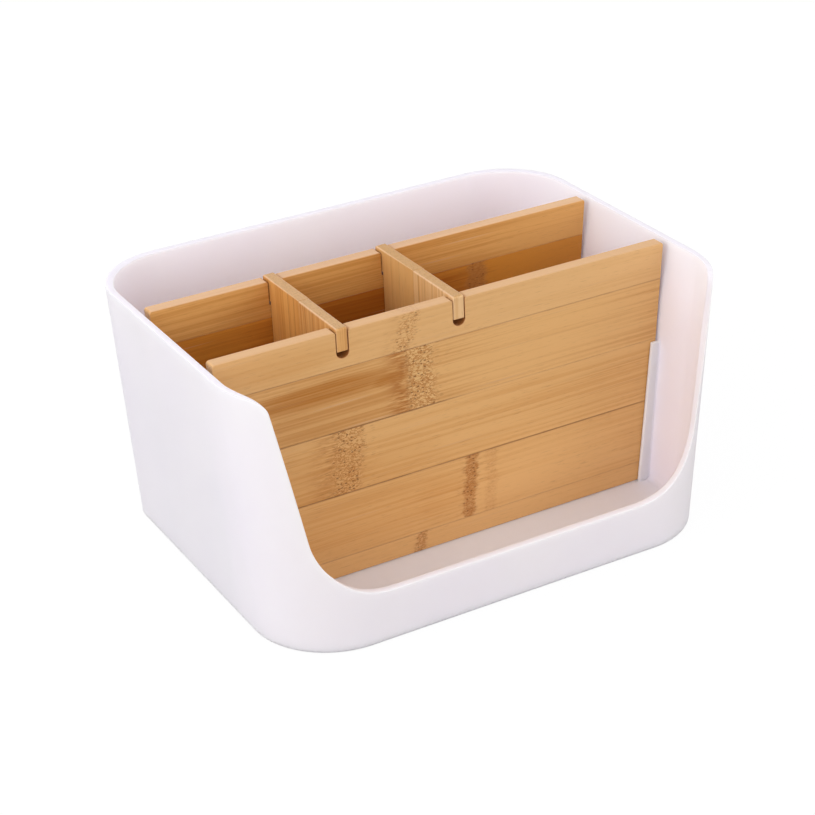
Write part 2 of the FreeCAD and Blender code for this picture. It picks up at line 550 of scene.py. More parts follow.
        over_out = bend(outer.points(out_place, top), sharp[0], sharp[0] + across)
        over_in = bend(inner.points(in_place, top), sharp[1], sharp[1] - across)[::-1]
        quarter = np.linspace(0.0, math.pi / 2, FOOT_STEPS)[:, None]
        foot = outer.points(out_place, self.foot_radius * (1 - np.cos(quarter)),
                            self.foot_radius * (1 - np.sin(quarter)))
        climb = np.array(OUTER_ROWS)[:, None]
        wall_out = outer.points(out_place, self.foot_radius + climb * (top - self.foot_radius))
        near_top, drop = np.array(NEAR_TOP)[:, None], np.array(INNER_ROWS)[:, None]
        low, fall = self.floor + self.floor_radius, top - near_top[-1]
        wall_in = np.concatenate([inner.points(in_place, top - near_top),
                                  inner.points(in_place, fall + drop * (low - fall))])
        hollow = inner.points(in_place, self.floor + self.floor_radius * (1 - np.sin(quarter)),
                              self.floor_radius * (1 - np.cos(quarter)))
        rings = np.array(BOTTOM_RINGS)[:, None, None]
        base_mid, floor_mid = foot[0].mean(axis=0), hollow[-1].mean(axis=0)
        base = base_mid + rings * (foot[0] - base_mid)
        floor = floor_mid + rings[::-1] * (hollow[-1] - floor_mid)
        grid = np.concatenate([base, foot, wall_out, over_out, over_in, wall_in, hollow, floor])
        rows, columns = grid.shape[:2]
        faces = ring_faces(rows, columns)
        last, poles = (rows - 1) * columns, rows * columns
        faces += [[poles, (k + 1) % columns, k] for k in range(columns)]
        faces += [[last + k, last + (k + 1) % columns, poles + 1] for k in range(columns)]
        before = len(base) + len(foot) + len(wall_out)
        # painted shade on the rounded edge: full round the rim, partial on the lower cut-out
        rise = np.clip((top - self.edge_shade_low) / (self.edge_shade_high - self.edge_shade_low), 0.0, 1.0)
        shaded_edge = np.zeros((rows, columns))
        shaded_edge[before + 1:before + 2 * EDGE_STEPS - 1] = self.cut_edge_shade + (1 - self.cut_edge_shade) * rise
        return Surface(np.concatenate([grid.reshape(-1, 3), [base_mid, floor_mid]]), faces,
                       None, {"edge_sheen_and_shade": np.concatenate([shaded_edge.ravel(), np.zeros(2)])})

    def rib(self, side: float, face: float, outward: float) -> Surface:
        """One guide rib: a flat outline with a root that flares into the wall, carried upright.

        The rib leans with the side wall. A point's distance from the wall is the outline's times
        a spread that shrinks evenly from the foot to the top.

        Args:
            side: -1 for the left wall and 1 for the right one.
            face: the y of the board's face that the rib stands off.
            outward: the way in y that the rib lies from that face, -1 or 1.

        Returns:
            The closed surface, its foot and its root inside the tub.
        """
        reach, thick, root = self.rib_reach, self.rib_thickness, self.rib_root
        nose, edge, hidden = self.rib_nose, self.rib_edge, self.rib_hidden
        near, far = -root - 2 * hidden, thick + root + 2 * hidden
        plan = rounded_outline([
            Corner(-self.rib_behind, near, hidden, hidden), Corner(0.0, near, hidden, hidden),
            Corner(0.0, 0.0, root, edge), Corner(reach, 0.0, nose, edge),
            Corner(reach, thick, nose, edge), Corner(0.0, thick, root, hidden),
            Corner(0.0, far, hidden, hidden), Corner(-self.rib_behind, far, hidden, hidden)])
        top = self.height - self.rib_drop
        upright = Slab(plan, self.floor / 2, top, Grain.UPRIGHT).surface()
        z, depth, run = upright.points.T
        inner_half = self.inner_plan().half_width.at(z / self.height)
        points = np.stack([side * (inner_half - depth * self.rib_spread.at(z / top)),
                           face + outward * (self.rib_gap + run), z], -1)
        faces = upright.faces if side * outward < 0 else [face[::-1] for face in upright.faces]
        return Surface(points, faces, None, {"edge_sheen_and_shade": np.zeros(len(points))})

    def build(self, board_faces: Sequence[tuple[float, float]],
              finish: "MouldedPlastic") -> bpy.types.Object:
        """Makes the tub.

        Args:
            board_faces: the y of the front and the back face of each long board.
            finish: the plastic that the tub is moulded from.

        Returns:
            The tub's object, riding on its body.
        """
        ribs = [self.rib(side, face, outward) for side in (-1.0, 1.0)
                for front, back in board_faces for face, outward in ((front, -1.0), (back, 1.0))]
        thing = self.shell().piece("moulded_tub")
        grown = joined(ribs).piece("tub_ribs")
        union = thing.modifiers.new("ribs", "BOOLEAN")
        union.operation = "UNION"
        union.solver = "EXACT"
        union.object = grown
        graph = bpy.context.evaluated_depsgraph_get()
        moulded = bpy.data.meshes.new_from_object(thing.evaluated_get(graph))
        thing.modifiers.clear()
        thing.data = moulded
        bpy.data.objects.remove(grown)
        even = thing.modifiers.new("even_shading", "WEIGHTED_NORMAL")
        even.mode = "FACE_AREA"
        even.keep_sharp = False
        thing.data.materials.append(finish.material())
        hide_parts("tub")
        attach(thing, "tub")
        return thing


# The bamboo boards


@dataclass(frozen=True)
class Knuckle:
    """A knuckle band across a strip.

    Its middle is at place when level is its height, and moves by lean for each step up. Stain
    says how brown the band is as a whole, flank how brown the wood on its left is, and pale how
    far the band is lighter than the wood.
    """

    place: float
    level: float
    lean: float
    half_width: float
    strength: float = 1.0
    stain: float = 0.0
    flank: float = 0.5
    pale: float = 1.0


@dataclass(frozen=True)
class Patch:
    """A soft oval on a strip that shifts its tone, darker where strength is below zero."""

    place: float
    level: float
    reach: float
    height: float
    strength: float


@dataclass(frozen=True)
class Seam:
    """A glued joint between two strips, seen as a brown line at a level across the grain.

    From start to end along the grain its strength falls to the last share.
    """

    strength: float = 0.5
    start: float = 0.0
    end: float = 1.0
    last: float = 1.0
    level: float = 0.0


@dataclass(frozen=True)
class StripLook:
    """What is particular to one strip of bamboo.

    Streaks, bundles and glints say how strong its streaks, dark fibre bundles and light flecks
    are.
    """

    seed: float
    light: Colour
    dark: Colour
    streaks: float = 0.5
    bundles: float = 0.15
    knuckles: tuple[Knuckle, ...] = ()
    patches: tuple[Patch, ...] = ()
    seam: Seam = Seam()
    glints: float = 0.25


def node_box(node: str) -> tuple[np.ndarray, np.ndarray]:
    """The lowest and highest corner of a CAD node, in millimetres."""
    low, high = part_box(node)
    return np.array(low) / MM, np.array(high) / MM


@dataclass(frozen=True)
class LongBoard:
    """One long board, edge-glued from strips, with an open slot for each divider."""

    body: str
    looks: tuple[StripLook, ...]
    lean: float = 9.6 / 128.0
    top_radius: float = 1.6
    foot_radius: float = 3.4
    top_edge: float = 0.6
    end_edge: float = 0.35
    seam_edge: float = 0.22
    slot_edge: float = 0.3
    slot_shade: float = 0.86
    slot_depth: float = 13.6
    slot_gap: float = 0.36
    mouth_radius: float = 1.6
    bottom_share: float = 0.98
    # light tan of the board's painted highlights on its edges and upper face
    sheen_tone: Colour = (0.63, 0.38, 0.21)

    def half_length(self, z: float) -> float:
        """Half the board's length at height z, read from the frame and the walls' lean."""
        _, high = node_box(f"{self.body}_strip_3")
        return float(high[0] - self.lean * (high[2] - z))

    def slots(self, top: float, spans: Sequence[tuple[float, float]]) -> list[Corner]:
        """The corners of the slots along the top edge.

        Each slot is as wide as its divider and a gap on either side, with its bottom corners
        rounded by a share of half that width.

        Args:
            top: the height of the board's top.
            spans: the lowest and highest x of each divider.

        Returns:
            Four corners a slot, from right to left.
        """
        corners = []
        for low, high in sorted(spans, reverse=True):
            left, right = low - self.slot_gap, high + self.slot_gap
            bottom = (top - self.slot_depth, (right - left) / 2 * self.bottom_share)
            wall = (self.slot_edge, self.slot_shade)
            corners += [Corner(right, top, self.mouth_radius, *wall),
                        Corner(right, *bottom, *wall), Corner(left, *bottom, *wall),
                        Corner(left, top, self.mouth_radius, self.top_edge)]
        return corners

    def strip(self, number: int, spans: Sequence[tuple[float, float]]) -> Surface:
        """One strip: a flat outline with leaning ends, carried through the thickness.

        Args:
            number: the strip's number, counted from the top.
            spans: the lowest and highest x of each divider.

        Returns:
            The strip's surface, slotted if it is the top one.
        """
        low, high = node_box(f"{self.body}_strip_{number}")
        first, last = number == 1, number == len(self.looks)
        foot, head = self.half_length(low[2]), self.half_length(high[2])
        foot_radius = self.foot_radius if last else self.end_edge
        head_radius = self.top_radius if first else self.end_edge
        foot_edge = self.end_edge if last else self.seam_edge
        head_edge = self.top_edge if first else self.seam_edge
        corners = [Corner(-foot, low[2], foot_radius, foot_edge),
                   Corner(foot, low[2], foot_radius, self.end_edge),
                   Corner(head, high[2], head_radius, head_edge)]
        corners += self.slots(high[2], spans) if first else []
        corners += [Corner(-head, high[2], head_radius, self.end_edge)]
        return Slab(rounded_outline(corners), low[1], high[1], Grain.ALONG_BOARD).surface()

    def build(self, spans: Sequence[tuple[float, float]]) -> list[bpy.types.Object]:
        """Makes the board's strips.

        Args:
            spans: the lowest and highest x of each divider.

        Returns:
            The strips' objects, riding on the board's body.
        """
        made = []
        for number, look in enumerate(self.looks, start=1):
            node = f"{self.body}_strip_{number}"
            name = f"bamboo_{node}"
            low, high = (float(corner[2]) for corner in node_box(node))
            seams = (replace(self.looks[number - 2].seam, level=high),) if number > 1 else ()
            seams += (replace(look.seam, level=low),) if number < len(self.looks) else ()
            finish = Bamboo(name, Grain.ALONG_BOARD, look, seams,
                            crest=high if number == 1 else None, sheen_tan=self.sheen_tone)
            thing = self.strip(number, spans).piece(name)
            thing.data.materials.append(finish.material())
            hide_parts(node)
            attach(thing, self.body)
            made.append(thing)
        return made


@dataclass(frozen=True)
class Divider:
    """One cross divider: two upright strips, each with a lug that sits in a board's slot."""

    body: str
    looks: tuple[StripLook, StripLook]
    lug_height: float = 11.6
    board_gap: float = 0.3
    step_radius: float = 0.5
    nose_radius: float = 1.3
    joint_foot_radius: float = 0.4
    joint_top_radius: float = 0.3
    joint_fade: float = 0.6
    joint_top_edge: float = 0.3
    top_edge: float = 0.8
    face_edge: float = 0.4
    seam_edge: float = 0.2
    end_tone: Colour = (0.54, 0.33, 0.155)

    def strip(self, node: str, board: float, way: float) -> Surface:
        """One strip: a flat outline with a lug, carried through the thickness.

        The rear strip is the front one seen in a mirror, so its corners run the other way, and
        each has the edge that its neighbour has there.

        Args:
            node: the strip's CAD node.
            board: the y of the inner face of the board whose slot holds the lug.
            way: the way in y from that board to the joint, 1 at the front and -1 at the rear.

        Returns:
            The strip's surface.
        """
        low, high = node_box(node)
        nose, joint = (low[1], high[1])[::int(way)]
        panel, shelf = board + way * self.board_gap, high[2] - self.lug_height
        corners = [Corner(panel, low[2], self.step_radius, self.face_edge),
                   Corner(joint, low[2], self.joint_foot_radius, self.seam_edge),
                   Corner(joint, high[2], self.joint_top_radius, self.joint_top_edge),
                   Corner(joint - way * self.joint_fade, high[2], 0.0, self.top_edge),
                   Corner(nose, high[2], self.nose_radius, self.face_edge),
                   Corner(nose, shelf, self.step_radius, self.face_edge),
                   Corner(panel, shelf, self.step_radius, self.face_edge)]
        if way < 0:
            corners = [replace(corner, edge=mate.edge)
                       for corner, mate in zip(corners[1::-1] + corners[:1:-1],
                                               corners[:1] + corners[:0:-1])]
        return Slab(rounded_outline(corners), low[0], high[0], Grain.UPRIGHT).surface()

    def span(self) -> tuple[float, float]:
        """The lowest and highest x of the divider."""
        low, high = node_box(f"{self.body}_front_strip")
        return float(low[0]), float(high[0])

    def build(self, board_back: float, board_face: float) -> list[bpy.types.Object]:
        """Makes the two strips.

        Args:
            board_back: the y of the front board's back.
            board_face: the y of the rear board's face.

        Returns:
            The strips' objects, riding on the divider's body.
        """
        made = []
        joint = float(node_box(f"{self.body}_front_strip")[1][1])
        seam = replace(self.looks[0].seam, level=joint)
        sides = (("front", board_back, 1.0), ("rear", board_face, -1.0))
        for (place, board, way), look in zip(sides, self.looks):
            node = f"{self.body}_{place}_strip"
            name = f"bamboo_{node}"
            finish = Bamboo(name, Grain.UPRIGHT, look, (seam,), end_brown=self.end_tone)
            thing = self.strip(node, board, way).piece(name)
            thing.data.materials.append(finish.material())
            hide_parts(node)
            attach(thing, self.body)
            made.append(thing)
        return made


# Finishes


class Sheet:
    """A node tree with short calls that add nodes and join them."""

    def __init__(self, tree: bpy.types.NodeTree) -> None:
        """Keeps the tree to write in."""
        self.tree = tree

    def add(self, kind: str, **settings: object) -> bpy.types.Node:
        """Adds one node.

        Args:
            kind: the node's type.
            settings: its properties and their values.

        Returns:
            The node.
        """
        node = self.tree.nodes.new(kind)
        for name, value in settings.items():
            setattr(node, name, value)
        return node

    def feed(self, socket: Socket, value: object) -> None:
        """Joins an output to a socket, or writes a plain value into it.

        Args:
            socket: the input to feed.
            value: an output, a plain value, or nothing to leave the input alone.
        """
        if isinstance(value, Socket):
            self.tree.links.new(value, socket)
        elif value is not None:
            socket.default_value = value

    def fed(self, kind: str, *values: object, **settings: object) -> bpy.types.NodeOutputs:
        """Adds a node and feeds its first inputs.

        Args:
            kind: the node's type.
            values: what feeds the inputs, in their order.
            settings: the node's properties and their values.

        Returns:
            The node's outputs.
        """
        node = self.add(kind, **settings)
        for socket, value in zip(node.inputs, values):
            self.feed(socket, value)
        return node.outputs

    def filled(self, node: bpy.types.Node, **values: object) -> bpy.types.NodeOutputs:
        """Feeds a node's inputs by their names.

        Args:
            node: the node.
            values: what feeds each input.

        Returns:
            The node's outputs.
        """
        for title, value in values.items():
            self.feed(node.inputs[title], value)
        return node.outputs

    def math(self, operation: str, *values: object) -> Socket:
        """One Math node."""
        return self.fed("ShaderNodeMath", *values, operation=operation)[0]

    def times(self, first: object, second: object) -> Socket:
        """The product of two values."""
        return self.math("MULTIPLY", first, second)

    def less(self, first: object, second: object) -> Socket:
        """The first value less the second."""
        return self.math("SUBTRACT", first, second)

    def times_plus(self, first: object, second: object, third: object) -> Socket:
        """The product of two values plus a third."""
        return self.math("MULTIPLY_ADD", first, second, third)

    def vector(self, operation: str, first: object, second: object) -> Socket:
        """One Vector Math node with a vector answer."""
        return self.fed("ShaderNodeVectorMath", first, second, operation=operation)[0]

    def noise(self, place: object, size: object, detail: float = 2.0,
              rough: float = 0.5) -> Socket:
        """Noise on a place that is first multiplied by size, a number for each axis."""
        place = self.vector("MULTIPLY", place, size)
        return self.filled(self.add("ShaderNodeTexNoise"), Vector=place, Scale=1.0,
                           Detail=detail, Roughness=rough)["Fac"]

    def dots(self, place: object, size: object, core: float, rim: float,
             kept: float = 1.0) -> Socket:
        """Dots round the points of a cell pattern, 1 in their core and 0 beyond their rim.

        Args:
            place: where the pattern is read.
            size: what the place is multiplied by, a number for each axis.
            core: how far from its point a dot is 1.
            rim: how far from it the dot has faded out.
            kept: the share of the cells that have a dot.

        Returns:
            The strength of the dot there.
        """
        place = self.vector("MULTIPLY", place, size)
        cells = self.filled(self.add("ShaderNodeTexVoronoi", feature="F1",
                                     distance="EUCLIDEAN"), Vector=place, Scale=1.0)
        dot = self.spread(cells["Distance"], core, rim, 1.0, 0.0)
        if kept == 1.0:
            return dot
        chance = self.fed("ShaderNodeSeparateXYZ", cells["Color"])
        return self.times(dot, self.math("LESS_THAN", chance[0], kept))

    def spread(self, value: object, low: float, high: float, start: object = 0.0,
               stop: object = 1.0) -> Socket:
        """Maps low to high smoothly onto start to stop."""
        return self.fed("ShaderNodeMapRange", value, low, high, start, stop,
                        interpolation_type="SMOOTHSTEP")[0]

    def mix(self, share: object, first: object, second: object) -> Socket:
        """Mixes two colours, each from an output or as three plain numbers.

        Args:
            share: the share of the second colour.
            first: the first colour.
            second: the second colour.

        Returns:
            The mixed colour.
        """
        node = self.add("ShaderNodeMix", data_type="RGBA", blend_type="MIX")
        self.feed(node.inputs[0], share)
        for socket, value in ((node.inputs[6], first), (node.inputs[7], second)):
            self.feed(socket, (*value, 1.0) if isinstance(value, tuple) else value)
        return node.outputs[2]

    def tint(self, colour: Socket, tone: Colour, cover: Socket, strength: float) -> Socket:
        """Lays a tone over a colour, by cover times strength."""
        return self.mix(self.times(cover, strength), colour, tone)

    def mark(self, name: str) -> Socket:
        """A mark that the mesh carries."""
        return self.add("ShaderNodeAttribute", attribute_name=name).outputs["Fac"]

    def placed(self, group: bpy.types.NodeTree, **values: object) -> bpy.types.NodeOutputs:
        """Places a group, feeds its inputs and gives its outputs."""
        return self.filled(self.add("ShaderNodeGroup", node_tree=group), **values)

    def bump(self, height: Socket, strength: float, distance: float) -> Socket:
        """The way a surface faces that is raised by height, so many millimetres at 1."""
        return self.filled(self.add("ShaderNodeBump"), Strength=strength,
                           Distance=distance * MM, Height=height)[0]


def new_material(name: str) -> tuple[bpy.types.Material, Sheet, bpy.types.Node]:
    """Makes a material.

    Args:
        name: the material's name.

    Returns:
        The material, the sheet of its nodes and its main shader.
    """
    material = bpy.data.materials.new(name)
    material.use_nodes = True
    return material, Sheet(material.node_tree), material.node_tree.nodes["Principled BSDF"]


def node_group(name: str, *values: str) -> Callable:
    """Makes a shader node group, once, of a function that writes its nodes.

    Args:
        name: the group's name.
        values: the names of its plain inputs, which follow the vector Place.

    Returns:
        A decorator. The function takes a sheet, the place and each plain input, and returns the
        name and the output of each plain value that the group puts out.
    """
    def wrap(write: Callable[..., dict[str, Socket]]) -> Callable[[], bpy.types.NodeTree]:
        """Puts the making of the group around the function.

        Args:
            write: the function that writes the group's nodes.

        Returns:
            A function that gives the group.
        """
        @cache
        def make() -> bpy.types.NodeTree:
            """Makes the group at the first call.

            Returns:
                The group, the same one at every call.
            """
            tree = bpy.data.node_groups.new(name, "ShaderNodeTree")
            tree.interface.new_socket("Place", in_out="INPUT", socket_type="NodeSocketVector")
            for title in values:
                tree.interface.new_socket(title, in_out="INPUT", socket_type="NodeSocketFloat")
            sheet = Sheet(tree)
            source = sheet.add("NodeGroupInput").outputs
            found = write(sheet, source["Place"], *(source[title] for title in values))
            for title in found:
                tree.interface.new_socket(title, in_out="OUTPUT", socket_type="NodeSocketFloat")
            sheet.filled(sheet.add("NodeGroupOutput"), **found)
            return tree
        return make
    return wrap


@node_group("bamboo_fibres", "Seed")
def fibre_group(sheet: Sheet, place: Socket, seed: Socket) -> dict[str, Socket]:
    """Long fibres with streaks, bundles and flecks, which bow a little.

    Each is noise or dots on the place, stretched along the grain and moved by the seed. The height
    is the streak plus 0.7 of the fine fibres, less the bundles and flecks.

    Args:
        sheet: the sheet to write in.
        place: the spot as along, across and through the grain, in millimetres.
        seed: what tells one strip's pattern from another's.

    Returns:
        The group's outputs by name.
    """
    shift = sheet.fed("ShaderNodeCombineXYZ", *(sheet.times(seed, size)
                                                for size in (37.1, 11.7, 5.3)))[0]
    place = sheet.vector("ADD", place, shift)
    bow = sheet.times(sheet.less(sheet.noise(place, (0.006, 0.02, 0.02), 1.0), 0.5), 3.0)
    place = sheet.vector("ADD", place, sheet.fed("ShaderNodeCombineXYZ", 0.0, bow)[0])
    fine = sheet.noise(place, (0.025, 1.9, 1.7), 2.0, 0.6)
    streak = sheet.noise(place, (0.0045, 0.55, 0.6), 3.0, 0.65)
    broad = sheet.noise(place, (0.008, 0.09, 0.06), 1.0)
    bundle = sheet.dots(place, (0.006, 0.62, 0.62), 0.10, 0.34)
    glint = sheet.dots(place, (0.009, 0.42, 0.4), 0.05, 0.2, 0.5)
    fleck = sheet.spread(sheet.noise(place, (0.16, 2.4, 2.2), 1.0), 0.62, 0.74)
    sunk = sheet.times_plus(bundle, 0.35, sheet.times(fleck, 0.4))
    height = sheet.less(sheet.times_plus(fine, 0.7, streak), sunk)
    return {"Fine": fine, "Streak": streak, "Broad": broad, "Bundle": bundle, "Glint": glint,
            "Fleck": fleck, "Height": height}


@node_group("bamboo_knuckle", "Middle", "Level", "Lean", "Reach")
def knuckle_group(sheet: Sheet, place: Socket, middle: Socket, level: Socket, lean: Socket,
                  reach: Socket) -> dict[str, Socket]:
    """A knuckle band across a strip: its core, its left flank, its dark and light marks.

    Everything goes by how far the spot is from the band's swaying middle, over its reach.

    Args:
        sheet: the sheet to write in.
        place: the spot as along, across and through the grain, in millimetres.
        middle: how far along the band is at its level.
        level: the height at which that is so.
        lean: how far it moves along for each step up.
        reach: half its width.

    Returns:
        The group's outputs by name.
    """
    along, across, _ = sheet.fed("ShaderNodeSeparateXYZ", place)
    middle = sheet.times_plus(sheet.less(across, level), lean, middle)
    sway = sheet.times(sheet.less(sheet.noise(place, (0.06, 0.3, 0.3)), 0.5), 8.0)
    aside = sheet.math("DIVIDE", sheet.math("ADD", sheet.less(along, middle), sway), reach)
    away = sheet.math("ABSOLUTE", aside)
    core = sheet.spread(away, 0.45, 1.15, 1.0, 0.0)
    skirt = sheet.spread(away, 0.7, 2.2, 1.0, 0.0)
    torn = sheet.spread(sheet.noise(place, (0.11, 0.85, 0.6), 3.0, 0.6), 0.38, 0.58)
    left = sheet.times(sheet.spread(aside, -2.6, -1.1), sheet.spread(aside, -0.9, -0.4, 1.0, 0.0))
    mottle = sheet.noise(place, (0.46, 0.78, 0.7), 2.0, 0.6)
    curl = sheet.math("ABSOLUTE", sheet.less(mottle, 0.5))
    points = sheet.dots(place, (0.5, 0.85, 0.75), 0.2, 0.42, 0.38)
    dashes = sheet.times(sheet.dots(place, (0.25, 1.0, 0.9), 0.16, 0.4, 0.7), 0.4)
    return {"Core": core, "Flank": sheet.times(left, torn),
            "Marks": sheet.math("MAXIMUM", sheet.times(points, core),
                                sheet.times(dashes, skirt)),
            "Curls": sheet.times(sheet.spread(curl, 0.015, 0.07, 1.0, 0.0), core),
            "Glints": sheet.times(sheet.spread(curl, 0.075, 0.12), core)}


@node_group("bamboo_patch", "Middle", "Level", "Reach", "Height")
def patch_group(sheet: Sheet, place: Socket, middle: Socket, level: Socket, reach: Socket,
                height: Socket) -> dict[str, Socket]:
    """A soft oval, 1 at its middle and 0 at its edge, a little ragged along the fibres.

    Its strength goes by the square of the distance from its middle, over its reach and height.

    Args:
        sheet: the sheet to write in.
        place: the spot as along, across and through the grain, in millimetres.
        middle: how far along its middle is.
        level: how far across its middle is.
        reach: half its length.
        height: half its height.

    Returns:
        The group's output by name.
    """
    spot = sheet.fed("ShaderNodeSeparateXYZ", place)
    along = sheet.math("DIVIDE", sheet.less(spot[0], middle), reach)
    climb = sheet.math("DIVIDE", sheet.less(spot[1], level), height)
    away = sheet.times_plus(climb, climb, sheet.times(along, along))
    ragged = sheet.less(sheet.noise(place, (0.02, 0.8, 0.5)), 0.5)
    return {"Cover": sheet.spread(sheet.times_plus(ragged, 1.1, away), 0.1, 1.0, 1.0, 0.0)}


@dataclass(frozen=True)
class Bamboo:
    """Oiled bamboo strip: long fibres, darker streaks, knuckle bands and painted edge highlights.

    Where crest is given, it is the level of a strip's upper face, which is painted lighter as a
    whole, a painted sheen.
    """

    name: str
    grain: Grain
    look: StripLook
    seams: tuple[Seam, ...] = ()
    crest: float | None = None
    crest_sheen_cover: float = 0.6
    end_cover: float = 0.75
    pore_cover: float = 0.3
    edge_sheen_cover: float = 0.7
    roughness: float = 0.46
    specular: float = 0.3
    bump_strength: float = 0.35
    bump_height: float = 0.12
    knuckle_brown: Colour = (0.17, 0.065, 0.018)
    core_yellow: Colour = (0.74, 0.47, 0.20)
    flank_brown: Colour = (0.40, 0.145, 0.028)
    bundle_brown: Colour = (0.30, 0.13, 0.04)
    end_brown: Colour = (0.54, 0.33, 0.155)
    pore_brown: Colour = (0.20, 0.11, 0.05)
    glue_brown: Colour = (0.16, 0.052, 0.008)
    # dark brown of the painted shade on the slots' walls
    slot_shade_brown: Colour = (0.30, 0.085, 0.009)
    # light tan of the painted highlights: rounded edges, the upper face and the light flecks
    sheen_tan: Colour = (0.73, 0.48, 0.30)

    def place(self, sheet: Sheet) -> Socket:
        """The spot on the piece, counted along its grain.

        Args:
            sheet: the sheet to write in.

        Returns:
            The spot as along, across and through the grain, in millimetres.
        """
        spot = sheet.add("ShaderNodeTexCoord").outputs["Object"]
        parts = sheet.fed("ShaderNodeSeparateXYZ", spot)
        return sheet.fed("ShaderNodeCombineXYZ", *(sheet.times(parts[axis], 1.0 / MM)
                                                   for axis in self.grain.value))[0]

    def wood(self, sheet: Sheet, place: Socket, fibres: bpy.types.NodeOutputs) -> Socket:
        """The plain wood, from its dark to its light tone by streak, fibre, drift and patches.

        The flecks, the fibre bundles and the light flecks lie over it.

        Args:
            sheet: the sheet to write in.
            place: the spot as along, across and through the grain.
            fibres: the outputs of the fibre group.

        Returns:
            The wood's colour.
        """
        drift = sheet.times_plus(sheet.less(fibres["Fine"], 0.5), 0.8,
                                 sheet.spread(fibres["Streak"], 0.34, 0.64))
        drift = sheet.times_plus(sheet.less(fibres["Broad"], 0.5), 1.3, drift)
        tone = sheet.spread(drift, -0.15, 1.15, 1.0 - self.look.streaks, 1.0)
        for patch in self.look.patches:
            oval = sheet.placed(patch_group(), Place=place, Middle=patch.place,
                                Level=patch.level, Reach=patch.reach, Height=patch.height)
            tone = sheet.times_plus(oval["Cover"], patch.strength, tone)
        colour = sheet.mix(tone, self.look.dark, self.look.light)
        for part, strength, tint in (("Fleck", 0.18, self.knuckle_brown),
                                     ("Bundle", self.look.bundles, self.bundle_brown),
                                     ("Glint", self.look.glints, self.sheen_tan)):
            colour = sheet.tint(colour, tint, fibres[part], strength)
        return colour

    def glue(self, sheet: Sheet, place: Socket) -> object:
        """The glue lines, each strongest at its seam's level and gone 0.6 mm from it.

        Args:
            sheet: the sheet to write in.
            place: the spot as along, across and through the grain.

        Returns:
            How far the glue's colour covers the wood there.
        """
        along, across, _ = sheet.fed("ShaderNodeSeparateXYZ", place)
        uneven = sheet.spread(sheet.noise(place, (0.05, 0.05, 0.05)), 0.3, 0.7, 0.6, 1.0)
        cover = 0.0
        for seam in self.seams:
            away = sheet.math("ABSOLUTE", sheet.less(across, seam.level))
            line = sheet.times(sheet.spread(away, 0.1, 0.6, seam.strength, 0.0),
                               sheet.spread(along, seam.start, seam.end, 1.0, seam.last))
            cover = sheet.math("MAXIMUM", cover, sheet.times(line, uneven))
        return cover

    def material(self) -> bpy.types.Material:
        """Builds the material.

        Over the plain wood lie the knuckles, the end grain and its pores, the painted sheen on the
        crest, the painted shade on the slots' walls, the glue lines and the painted highlight on
        the rounded edges, in that order.

        Returns:
            The strip's material.
        """
        material, sheet, shader = new_material(self.name)
        place = self.place(sheet)
        fibres = sheet.placed(fibre_group(), Place=place, Seed=self.look.seed)
        colour, height = self.wood(sheet, place, fibres), fibres["Height"]
        for knuckle in self.look.knuckles:
            band = sheet.placed(knuckle_group(), Place=place, Middle=knuckle.place,
                                Level=knuckle.level, Lean=knuckle.lean,
                                Reach=knuckle.half_width)
            light = 0.6 * knuckle.pale * (1.0 - knuckle.stain)
            for part, cover, tint in (("Flank", knuckle.flank, self.flank_brown),
                                      ("Core", 0.3 * knuckle.pale, self.core_yellow),
                                      ("Core", knuckle.stain, self.flank_brown),
                                      ("Glints", light, self.core_yellow),
                                      ("Curls", 0.75, self.flank_brown),
                                      ("Marks", 0.8, self.knuckle_brown)):
                colour = sheet.tint(colour, tint, band[part], cover * knuckle.strength)
            height = sheet.less(height, band["Marks"])
        ends = sheet.spread(sheet.mark("end_grain"), 0.55, 0.95)
        colour = sheet.tint(colour, self.end_brown, ends, self.end_cover)
        pores = sheet.times(ends, sheet.dots(place, (0.2, 1.0, 1.0), 0.2, 0.45))
        colour = sheet.tint(colour, self.pore_brown, pores, self.pore_cover)
        # painted sheen: the upper face is painted in the light tan
        if self.crest is not None:
            across = sheet.fed("ShaderNodeSeparateXYZ", place)[1]
            crest_sheen = sheet.spread(across, self.crest - 0.35, self.crest - 0.05, 0.0,
                                self.crest_sheen_cover)
            colour = sheet.mix(crest_sheen, colour, self.sheen_tan)
        # painted shade on the slots' walls, where the wood above keeps the light out
        colour = sheet.mix(sheet.mark("slot_painted_shade"), colour, self.slot_shade_brown)
        colour = sheet.mix(self.glue(sheet, place), colour, self.glue_brown)
        # painted highlight on the rounded edges
        colour = sheet.tint(colour, self.sheen_tan, sheet.mark("edge_sheen_and_shade"), self.edge_sheen_cover)
        rough = sheet.spread(fibres["Streak"], 0.3, 0.7, self.roughness + 0.08,
                             self.roughness - 0.05)
        sheet.filled(shader, **{
            "Base Color": colour, "Roughness": rough, "Specular IOR Level": self.specular,
            "Normal": sheet.bump(height, self.bump_strength, self.bump_height)})
        return material


@node_group("moulded_skin")
def skin_group(sheet: Sheet, place: Socket) -> dict[str, Socket]:
    """The drift of the plastic's colour, its rubbed marks and its moulded grain, all noise.

    Args:
        sheet: the sheet to write in.
        place: the spot on the piece, in millimetres.

    Returns:
        The group's outputs by name.
    """
    cloud = sheet.spread(sheet.noise(place, (0.018, 0.018, 0.012), 3.0, 0.55), 0.32, 0.68)
    rub = sheet.times(sheet.spread(sheet.noise(place, (0.22, 0.22, 0.22)), 0.58, 0.75),
                      sheet.spread(sheet.noise(place, (0.02, 0.02, 0.02), 1.0), 0.45, 0.7))
    grain = sheet.noise(place, (2.6, 2.6, 2.6), 2.0, 0.6)
    return {"Cloud": cloud, "Rub": rub, "Height": sheet.times_plus(rub, -0.3, grain)}


